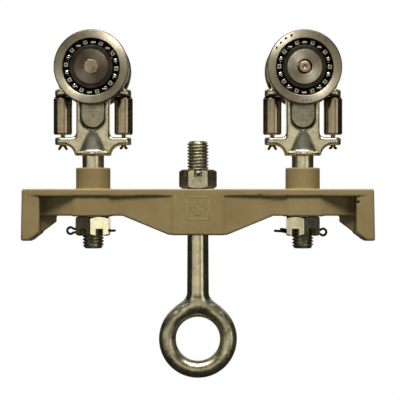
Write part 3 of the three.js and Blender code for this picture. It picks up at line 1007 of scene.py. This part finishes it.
# -------------------- slotted nut and cotters
def slotted_nut():
    """A hex nut with its seat on z = 0 and its slots up, crisp edges lightly broken."""
    corner = NUT_FLATS / math.sqrt(3)
    edit = bmesh.new()
    bmesh.ops.create_cone(
        edit, cap_ends=True, segments=6, radius1=corner, radius2=corner, depth=NUT_HEIGHT
    )
    lift = Matrix.Scale(MM, 4) @ Matrix.Translation((0, 0, NUT_HEIGHT / 2))
    bmesh.ops.transform(edit, matrix=lift, verts=edit.verts)
    nut = edited_piece("slotted_nut", edit, NUT_ZINC)
    first = math.atan2(nut.data.vertices[0].co.y, nut.data.vertices[0].co.x)
    nut.data.transform(Matrix.Rotation(math.radians(90) - first, 4, "Z"))
    half = NUT_FLATS / 2
    rim = corner + 0.3
    chamfer = 1.7
    blank = turned(
        "blank",
        [
            (0, 0),
            (half - 0.4, 0),
            (rim, chamfer),
            (rim, NUT_HEIGHT - chamfer),
            (half - 0.4, NUT_HEIGHT),
            (0, NUT_HEIGHT),
        ],
        NUT_ZINC,
        120,
    )
    bore = turned("bore", [(0, -2), (STUD_R, -2), (STUD_R, 20), (0, 20)], NUT_ZINC, 64)
    cutters = [(blank, "INTERSECT"), (bore, "DIFFERENCE")]
    for i in range(3):
        edit = bmesh.new()
        bmesh.ops.create_cube(edit, size=1.0)
        place = (
            Matrix.Scale(MM, 4)
            @ Matrix.Rotation(math.radians(60 * i), 4, "Z")
            @ Matrix.Translation((0, 0, NUT_HEIGHT - SLOT_DEPTH + 5))
            @ Matrix.Diagonal((40, SLOT_WIDTH, 10, 1))
        )
        bmesh.ops.transform(edit, matrix=place, verts=edit.verts)
        cutters.append((edited_piece("slot", edit), "DIFFERENCE"))
    for cutter, operation in cutters:
        cut = nut.modifiers.new("cut", "BOOLEAN")
        cut.operation = operation
        cut.solver = "EXACT"
        cut.object = cutter
    edge = nut.modifiers.new("edge", "BEVEL")
    edge.width = 0.35 * MM
    edge.segments = 3
    edge.limit_method = "ANGLE"
    edge.angle_limit = math.radians(28)
    edge.harden_normals = True
    nut.data.shade_smooth()
    baked(nut)
    for cutter, _ in cutters:
        bpy.data.objects.remove(cutter)
    return nut


def cotter(name, eye_r, eye_gap, legs, material):
    """A cotter along x with its eye on the -x side. The legs are paths of (x, z)."""
    edge = NUT_FLATS / 2
    eye_x = -edge - eye_gap - eye_r
    loop = arc((eye_x, 0, 0), eye_r, 38, 322, 30)
    into_slot = [(-edge + 0.2, 0, -0.95), (-edge + 1.5, 0, -0.75)]
    out_of_slot = [(x, y, -z) for x, y, z in reversed(into_slot)]
    parts = [swept("cotter_eye", [*out_of_slot, *loop, *into_slot], WIRE_R, material, 14)]
    for side in (-1, 1):
        half = [(-edge + 1.2, 0, side * 0.72), (edge - 1, 0, side * 0.72)]
        parts.append(swept("cotter_half", half, WIRE_R, material, 14))
    for leg in legs:
        parts.append(swept("cotter_leg", [(edge + x, 0, z) for x, z in leg], WIRE_R, material, 14))
    return joined(name, parts)


nut = slotted_nut()
COTTER_LEGS = {
    "left": [[(-1.5, 0.3), (1.5, 0.0), (4.0, 0.1)]],
    "right": [[(-1.5, 0.8), (1.5, 1.9), (4.0, 2.2)], [(-1.5, -0.4), (3.5, 0.6), (8.4, 0.9)]],
}
COTTER_EYE_GAP = {"left": 2.4, "right": 0.5}
# The left cotter rides high in its slot.
COTTER_RISE = {"left": 1.0, "right": 0.0}

# -------------------- both trolleys
FIRST_BALL = {"left": 4.5, "right": 0.5}
cages = {side: ball_cage(f"{side}_cage", FIRST_BALL[side]) for side in SIDES}
pins = {"forked": split_pin("forked_pin", FORKED_LEGS), "flat": split_pin("flat_pin", FLAT_LEGS)}
cotters = {
    side: cotter(f"{side}_cotter", 2.4, COTTER_EYE_GAP[side], COTTER_LEGS[side], WIRE) for side in SIDES
}
axles = {"left": peened_end, "right": dimpled_end}
STUD_NUT_Z = box_mm("left_stud_nut")[1][2]
COTTER_Z = STUD_NUT_Z - NUT_HEIGHT + SLOT_DEPTH / 2

turned_faces = bpy.data.collections.new("turned_faces")

for side, way in SIDES.items():
    trolley = f"{side}_trolley"
    x = way * TROLLEY_X
    at = (x, 0, 0)
    fit_copy(forged_body, f"{side}_forging", trolley, "zinc", [f"{side}_trolley_body"], at)
    fit_copy(lower_stud, f"{side}_stud_thread", trolley, "zinc", at=at)
    fit_copy(hidden_stud, f"{side}_stud_shank", trolley, "zinc", at=at)
    at = (x, -POCKET_FLOOR_Y, POCKET_MARK_Z)
    fit_copy(pocket_mark, f"{side}_front_mark", trolley, "zinc", at=at)
    at = (x, POCKET_FLOOR_Y, POCKET_MARK_Z)
    fit_copy(pocket_mark, f"{side}_rear_mark", trolley, "zinc", at=at, turn=180)
    at = (x, 0, STUD_NUT_Z)
    fit_copy(nut, f"{side}_nut", trolley, "zinc", [f"{side}_stud_nut"], at, NUT_TURN[side], True)
    at = (x, 0, COTTER_Z + COTTER_RISE[side])
    turn = NUT_TURN[side] + (180 if way > 0 else 0)
    node = f"{side}_nut_cotter"
    fit_copy(cotters[side], f"{side}_cotter_pin", trolley, "cotter_steel", [node], at, turn)
    hub = (x, 0, AXLE_Z)
    fit_copy(axles[side], f"{side}_axle", trolley, "axle_steel", [f"{side}_wheel_axle"], hub)
    fit_copy(axles[side], f"{side}_axle_rear_end", trolley, "axle_steel", at=hub, turn=180)
    for face, turn in FACES.items():
        node = f"{side}_{face}"
        tread = fit_copy(
            wheel_ring, f"{node}_tread", f"{node}_wheel", "wheel_steel", [f"{node}_wheel_ring"], hub, turn
        )
        turned_faces.objects.link(tread)
        fit_copy(race, f"{node}_race", trolley, "bearing_steel", [f"{node}_inner_ring"], hub, turn)
        hub_disc = fit_copy(
            washers[side], f"{node}_hub_disc", trolley, "axle_steel", [f"{node}_hub_washer"], hub, turn
        )
        turned_faces.objects.link(hub_disc)
        name = f"{node}_balls_and_cage"
        fit_copy(cages[side], name, f"{node}_balls", "bearing_steel", [f"{node}_ball_cage"], hub, turn)
    for place, out in (("outer", 1), ("inner", -1)):
        node = f"{side}_{place}_roller"
        at = (way * (TROLLEY_X + out * ROLLER_X), 0, 0)
        fit_copy(side_roller, f"{node}_barrel", node, "roller_steel", [node], at)
        pin = pins["flat" if way * out > 0 else "forked"]
        fit_copy(pin, f"{node}_split_pin", trolley, "cotter_steel", [f"{node}_pin"], at)


pips = raised_bars(
    "wheel_pips",
    [
        (PIP_R * math.cos(math.radians(a)), PIP_R * math.sin(math.radians(a)), size, size * 0.8, 90 - a)
        for a, size in PIPS
    ],
    0.06,
    RACE_AND_RIM_SHADE,
)
fit(pips, "right_front_wheel", "wheel_steel", at=(TROLLEY_X, -WHEEL_FACE_Y, AXLE_Z))


# -------------------- eye bolt
EYE_SHANK_R = 7.75
EYE_SHANK_TOP_Z = -62.0


def eye_field(x, y, z):
    ring = np.hypot(np.hypot(x, z - EYE_RING_Z) - EYE_RING_R, y) - EYE_BAR_R
    # The shank swells a little below the bar, then widens and thins where it runs into the ring.
    r = EYE_SHANK_R + 0.3 * np.clip((BLOCK_BOTTOM_Z + 0.3 - z) / 45, 0, 1)
    top = EYE_SHANK_TOP_Z
    low = EYE_RING_Z + EYE_RING_R + 0.5
    near = np.clip(1 - (z - low - 1) / 11, 0, 1) ** 2
    across = r + 3 * near
    deep = r + (EYE_BAR_R - r) * near
    side = (np.hypot(x / across, y / deep) - 1) * deep
    shank = capped(side, z - (top + low) / 2, (top - low) / 2, 2.0)
    return blended(ring, shank, 5.5)


eye = solid_from_field(
    "eye_bolt_forging", eye_field, EYE_LOW, (EYE_HIGH[0], EYE_HIGH[1], EYE_SHANK_TOP_Z + 1), 0.65, SHANK
)
# The ring keeps a darker, rougher skin than the shank.
eye.data.materials.append(EYE_ZINC)
for face in eye.data.polygons:
    face.material_index = int(face.center.z / MM < EYE_RING_Z + EYE_RING_R + EYE_BAR_R)
fit(eye, "eye_bolt", "zinc", ["eye_bolt"])
eye_thread = threaded("eye_bolt_thread", -63.0, EYE_TOP_Z, THREAD, chamfer_high=1.9)
fit(eye_thread, "eye_bolt", "zinc")
EYE_NUT_Z = NUT_LOW[2]
# The eye bolt's nut takes the darker thread zinc instead of the studs' nut zinc.
eye_nut = fit_copy(nut, "eye_nut", "eye_bolt", "zinc", ["eye_bolt_nut"], (0, 0, EYE_NUT_Z), 90)
eye_nut.data = nut.data.copy()
for index in range(len(eye_nut.data.materials)):
    eye_nut.data.materials[index] = THREAD
EYE_COTTER_LEGS = [[(-1.5, 0.7), (4.0, 1.0)], [(-1.5, -0.7), (3.0, -1.2)]]
eye_cotter = cotter("eye_cotter", 1.6, 0.5, EYE_COTTER_LEGS, SHANK)
eye_cotter.data.transform(Matrix.Rotation(math.radians(90), 4, "X"))
EYE_COTTER_Z = EYE_NUT_Z + NUT_HEIGHT - SLOT_DEPTH / 2
fit(eye_cotter, "eye_bolt", "cotter_steel", ["eye_bolt_cotter"], (0, 0, EYE_COTTER_Z), 90)

# The patterns that the pieces were copied from.
for pattern in (
    forged_body,
    lower_stud,
    hidden_stud,
    pocket_mark,
    nut,
    wheel_ring,
    race,
    side_roller,
    *cotters.values(),
    *axles.values(),
    *washers.values(),
    *cages.values(),
    *pins.values(),
):
    bpy.data.objects.remove(pattern)


# -------------------- studio
# Soft panels all round the object, each (azimuth, elevation, half width, half height, soft edge, colour).
# Angles are degrees: azimuth 0 is straight in front of the bar and grows to the right.
PANELS = [
    (0, 64, 58, 14, 8, (9.0, 8.7, 7.7)),
    (-37, 0, 25, 10, 6, (0.90, 0.84, 0.65)),
    (0, 0, 14, 12, 8, (1.00, 0.94, 0.72)),
    (26, 0, 12, 10, 8, (0.60, 0.56, 0.44)),
    (45, 0, 8, 12, 5, (1.75, 1.65, 1.30)),
    (180, 34, 70, 8, 12, (0.7, 0.7, 0.66)),
    (180, 0, 26, 14, 10, (0.90, 0.85, 0.68)),
]
FILL = (0.030, 0.031, 0.026)

world = bpy.data.worlds.new("studio")
bpy.context.scene.world = world
world.use_nodes = True
tree = world.node_tree
tree.nodes.clear()


def math_node(operation, *values):
    """One math node. A value is a number or a socket."""
    node = tree.nodes.new("ShaderNodeMath")
    node.operation = operation
    for value, socket in zip(values, node.inputs):
        if isinstance(value, (int, float)):
            socket.default_value = value
        else:
            tree.links.new(value, socket)
    return node.outputs[0]


def window(angle, middle, half, soft, wraps):
    """1 inside middle +- half degrees, falling smoothly to 0 over the soft edge."""
    off = math_node("SUBTRACT", angle, math.radians(middle))
    if wraps:
        off = math_node("WRAP", off, math.pi, -math.pi)
    edge = (math.radians(half + soft / 2), math.radians(half - soft / 2))
    return remapped(tree, math_node("ABSOLUTE", off), edge, curve="SMOOTHSTEP")


looking = tree.nodes.new("ShaderNodeTexCoord")
parts = tree.nodes.new("ShaderNodeSeparateXYZ")
tree.links.new(looking.outputs["Generated"], parts.inputs["Vector"])
azimuth = math_node("ARCTAN2", parts.outputs["X"], math_node("MULTIPLY", parts.outputs["Y"], -1.0))
elevation = math_node("ARCSINE", parts.outputs["Z"])
light = None
for az, el, half_width, half_height, soft, colour in PANELS:
    share = math_node(
        "MULTIPLY",
        window(azimuth, az, half_width, soft, True),
        window(elevation, el, half_height, soft, False),
    )
    glow = tree.nodes.new("ShaderNodeVectorMath")
    glow.operation = "SCALE"
    glow.inputs[0].default_value = colour
    tree.links.new(share, glow.inputs["Scale"])
    total = tree.nodes.new("ShaderNodeVectorMath")
    total.operation = "ADD"
    tree.links.new(glow.outputs[0], total.inputs[0])
    if light is None:
        total.inputs[1].default_value = FILL
    else:
        tree.links.new(light, total.inputs[1])
    light = total.outputs[0]

# The camera sees plain white where it sees no object.
ray = tree.nodes.new("ShaderNodeLightPath")
seen = tree.nodes.new("ShaderNodeBackground")
seen.inputs["Color"].default_value = (1, 1, 1, 1)
felt = tree.nodes.new("ShaderNodeBackground")
tree.links.new(light, felt.inputs["Color"])
either = tree.nodes.new("ShaderNodeMixShader")
out = tree.nodes.new("ShaderNodeOutputWorld")
tree.links.new(ray.outputs["Is Camera Ray"], either.inputs["Fac"])
tree.links.new(felt.outputs["Background"], either.inputs[1])
tree.links.new(seen.outputs["Background"], either.inputs[2])
tree.links.new(either.outputs["Shader"], out.inputs["Surface"])

# The floor lies far below, out of the object's reflections.
floor_mesh = bpy.data.meshes.new("floor")
floor_mesh.from_pydata([(-0.5, -0.5, 0), (0.5, -0.5, 0), (0.5, 0.5, 0), (-0.5, 0.5, 0)], [], [(0, 1, 2, 3)])
floor = added("floor", floor_mesh)
floor.location.z = -1.6
floor_paint, _, floor_shader = node_material("pale_floor")
floor_shader.inputs["Base Color"].default_value = (0.86, 0.86, 0.85, 1)
floor_shader.inputs["Roughness"].default_value = 0.8
floor_mesh.materials.append(floor_paint)
floor.visible_glossy = False


def soft_lamp(name, place, size, power, glossy):
    """A square lamp that faces the object's middle."""
    data = bpy.data.lights.new(name, "AREA")
    data.size = size
    data.energy = power
    lamp = added(name, data)
    lamp.location = place
    lamp.rotation_euler = Vector(place).to_track_quat("Z", "Y").to_euler()
    lamp.visible_glossy = glossy
    return lamp


# Two lamps that do not show in the polished parts: one above the front, which shades the web under
# the flange, and one behind. A small one nearer the wheels' height gives each turned wheel face its
# two bright sectors.
soft_lamp("front_lamp", (0.0, -0.7, 1.1), 0.5, 28.0, False)
soft_lamp("rear_lamp", (0.0, 0.9, 0.6), 0.8, 14.0, False)
near_lamp = soft_lamp("near_lamp", (0.0, -0.6, 0.24), 0.10, 2.0, True)
near_lamp.light_linking.receiver_collection = turned_faces

# The camera stands level in front of the bar, far enough back that the view is nearly flat.
CAMERA_DISTANCE = 0.95
VIEW_WIDTH = 0.2912
camera_data = bpy.data.cameras.new("camera")
camera_data.sensor_width = 36.0
camera_data.lens = camera_data.sensor_width * CAMERA_DISTANCE / VIEW_WIDTH
camera = added("camera", camera_data)
camera.location = (0.0015, -CAMERA_DISTANCE, -0.0683)
camera.rotation_euler = (math.pi / 2, 0, 0)
bpy.context.scene.camera = camera
bpy.context.scene.view_settings.view_transform = "Standard"
